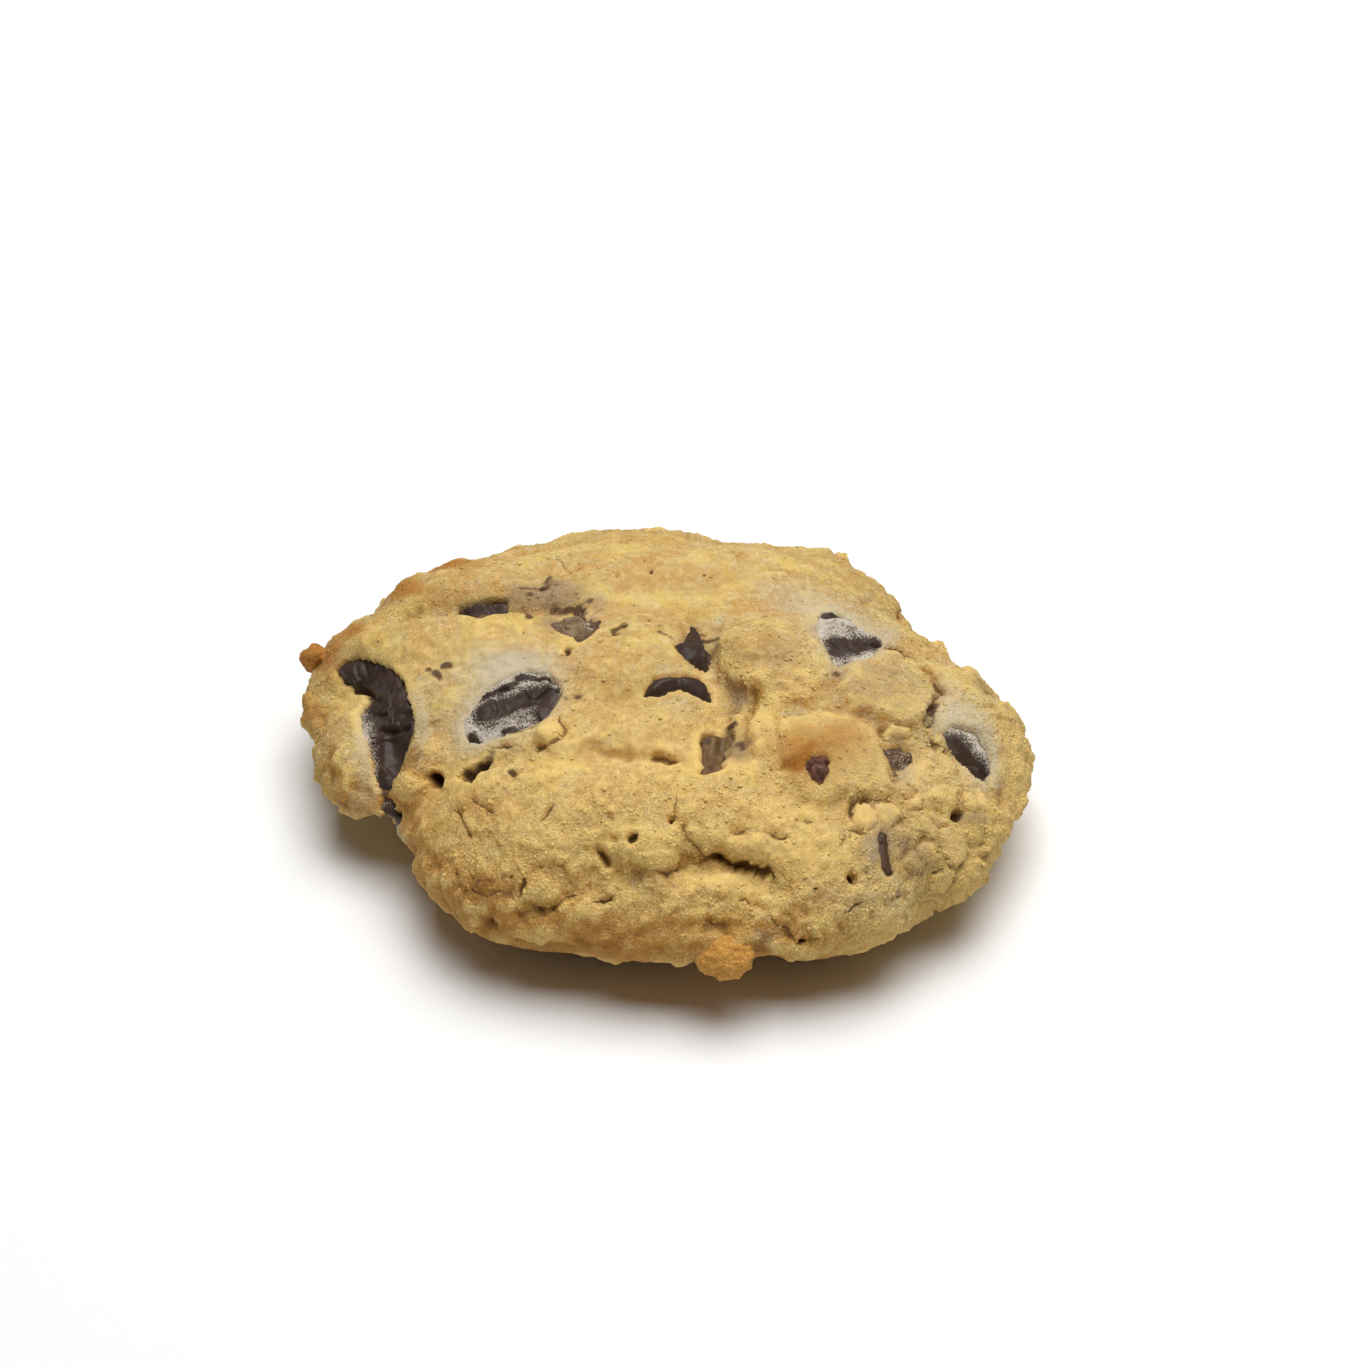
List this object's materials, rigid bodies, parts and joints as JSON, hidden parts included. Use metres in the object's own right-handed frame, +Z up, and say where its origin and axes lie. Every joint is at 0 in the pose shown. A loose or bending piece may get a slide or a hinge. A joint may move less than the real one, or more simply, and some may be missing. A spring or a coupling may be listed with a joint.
{
  "type": "banana cookie with chocolate chunks",
  "caption": "Domed, craggy baked drop cookie with chocolate chunks and bits of banana breaking its surface, resting on a small flat foot.",
  "frame": {"origin": "centre of the flat foot that the cookie stands on", "axes": "+Z up, +X to the right across its longest side, -Y towards the front with the widest smooth face"},
  "size_m": [0.0851, 0.0823, 0.0262],
  "materials": {
    "baked_dough": "matte, fine sugary grain",
    "chocolate": "satin with a dusty bloom",
    "banana": "sticky, browned"
  },
  "bodies": {
    "root": {"dough": "baked_dough", "chunk_left_long": "chocolate", "chunk_left_low": "chocolate", "chunk_front_left": "chocolate", "chip_arch": "chocolate", "chip_pointed": "chocolate", "chunk_back_right": "chocolate", "chunk_far_right": "chocolate", "chunk_back_left": "chocolate", "chunk_smeared": "chocolate", "chunk_covered": "chocolate", "chip_sliver": "chocolate", "banana_piece": "banana", "banana_bit": "banana"}
  },
  "joints": []
}
